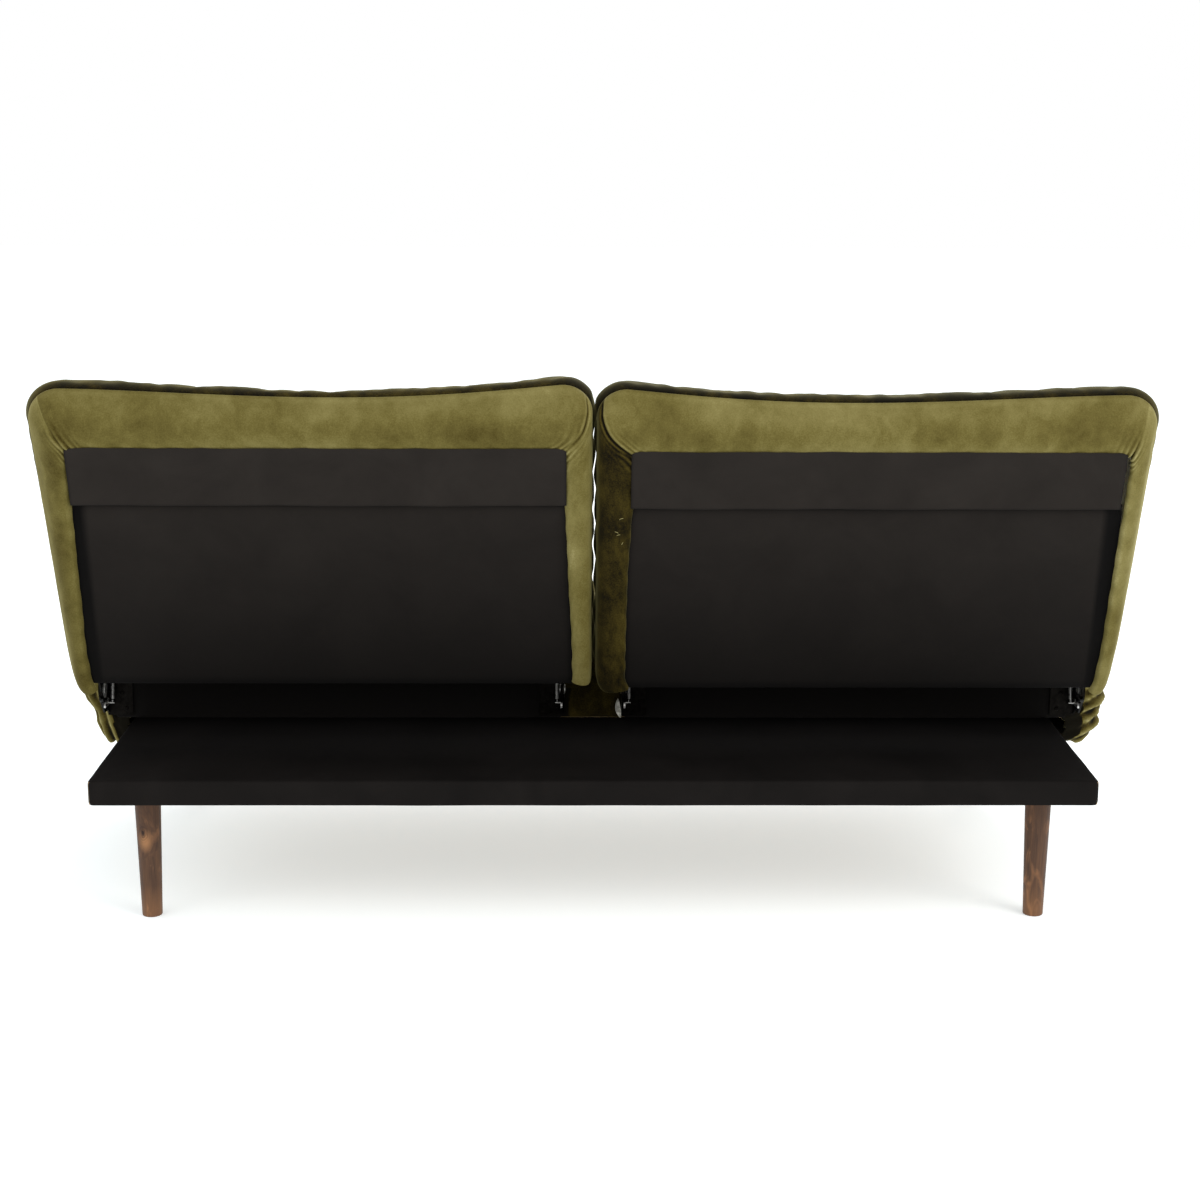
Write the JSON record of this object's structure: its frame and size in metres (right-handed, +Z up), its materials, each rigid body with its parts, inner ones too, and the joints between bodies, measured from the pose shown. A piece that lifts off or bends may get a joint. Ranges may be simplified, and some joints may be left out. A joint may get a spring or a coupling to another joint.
{
  "type": "futon sofa bed",
  "caption": "Armless sofa bed with a split back: padded seat on a cloth-covered base with tapered wooden legs; each back half reclines flat on ratchet hinges.",
  "frame": {"origin": "on the floor, under the middle of the whole sofa at rest", "axes": "+Z up, -Y the way the sofa faces, +X to the right of someone who looks along +Y at its front"},
  "size_m": [1.84, 0.89, 0.878],
  "materials": {
    "olive_velvet": "short-pile velvet",
    "black_lining": "non-woven lining",
    "stained_wood": "dark stain, satin",
    "pine_timber": "sawn, unfinished",
    "fibre_board": "pressed board",
    "seat_foam": "open-cell foam",
    "elastic_webbing": "woven elastic",
    "zinc_steel": "zinc plated"
  },
  "bodies": {
    "base": {"base_rail_front": "pine_timber", "base_rail_rear": "pine_timber", "base_rail_left": "pine_timber", "base_rail_right": "pine_timber", "base_deck": "fibre_board", "base_cover": "black_lining", "leg_front_left": "stained_wood", "leg_front_right": "stained_wood", "leg_rear_left": "stained_wood", "leg_rear_right": "stained_wood", "seat_rail_left": "pine_timber", "seat_rail_right": "pine_timber", "seat_rail_front": "pine_timber", "seat_rail_rear": "pine_timber", "seat_rail_centre": "pine_timber", "seat_webbing_left": "elastic_webbing", "seat_webbing_right": "elastic_webbing", "seat_foam": "seat_foam", "seat_cover": "olive_velvet", "seat_dust_cover": "black_lining", "seat_rear_lining_left": "black_lining", "seat_rear_lining_right": "black_lining", "back_left_inner_hinge_seat_arm": "zinc_steel", "back_left_inner_hinge_pin": "zinc_steel", "back_left_inner_hinge_spring": "zinc_steel", "back_left_outer_hinge_seat_arm": "zinc_steel", "back_left_outer_hinge_pin": "zinc_steel", "back_left_outer_hinge_spring": "zinc_steel", "back_right_inner_hinge_seat_arm": "zinc_steel", "back_right_inner_hinge_pin": "zinc_steel", "back_right_inner_hinge_spring": "zinc_steel", "back_right_outer_hinge_seat_arm": "zinc_steel", "back_right_outer_hinge_pin": "zinc_steel", "back_right_outer_hinge_spring": "zinc_steel"},
    "back_left": {"back_left_stile_inner": "pine_timber", "back_left_stile_outer": "pine_timber", "back_left_top_rail": "pine_timber", "back_left_bottom_rail": "pine_timber", "back_left_webbing": "elastic_webbing", "back_left_foam": "seat_foam", "back_left_cover": "olive_velvet", "back_left_dust_band": "black_lining", "back_left_dust_panel": "black_lining", "back_left_inner_hinge_back_arm": "zinc_steel", "back_left_outer_hinge_back_arm": "zinc_steel"},
    "back_right": {"back_right_stile_inner": "pine_timber", "back_right_stile_outer": "pine_timber", "back_right_top_rail": "pine_timber", "back_right_bottom_rail": "pine_timber", "back_right_webbing": "elastic_webbing", "back_right_foam": "seat_foam", "back_right_cover": "olive_velvet", "back_right_dust_band": "black_lining", "back_right_dust_panel": "black_lining", "back_right_inner_hinge_back_arm": "zinc_steel", "back_right_outer_hinge_back_arm": "zinc_steel"},
    "pawl_left_inner": {"back_left_inner_hinge_pawl": "zinc_steel"},
    "pawl_left_outer": {"back_left_outer_hinge_pawl": "zinc_steel"},
    "pawl_right_inner": {"back_right_inner_hinge_pawl": "zinc_steel"},
    "pawl_right_outer": {"back_right_outer_hinge_pawl": "zinc_steel"}
  },
  "joints": [
    {"name": "back_left_recline", "type": "hinge", "parent": "base", "child": "back_left", "pos_m": [-0.45, 0.12, 0.32], "axis": [-1, 0, 0], "range_deg": [-15, 72]},
    {"name": "back_right_recline", "type": "hinge", "parent": "base", "child": "back_right", "pos_m": [0.45, 0.12, 0.32], "axis": [-1, 0, 0], "range_deg": [-15, 72]},
    {"name": "pawl_left_inner_swing", "type": "hinge", "parent": "base", "child": "pawl_left_inner", "pos_m": [-0.0547, 0.09, 0.289], "axis": [1, 0, 0], "range_deg": [0, 8], "stiffness_Nm_per_rad": 0.05},
    {"name": "pawl_left_outer_swing", "type": "hinge", "parent": "base", "child": "pawl_left_outer", "pos_m": [-0.8455, 0.09, 0.289], "axis": [1, 0, 0], "range_deg": [0, 8], "stiffness_Nm_per_rad": 0.05},
    {"name": "pawl_right_inner_swing", "type": "hinge", "parent": "base", "child": "pawl_right_inner", "pos_m": [0.0547, 0.09, 0.289], "axis": [1, 0, 0], "range_deg": [0, 8], "stiffness_Nm_per_rad": 0.05},
    {"name": "pawl_right_outer_swing", "type": "hinge", "parent": "base", "child": "pawl_right_outer", "pos_m": [0.8455, 0.09, 0.289], "axis": [1, 0, 0], "range_deg": [0, 8], "stiffness_Nm_per_rad": 0.05}
  ]
}
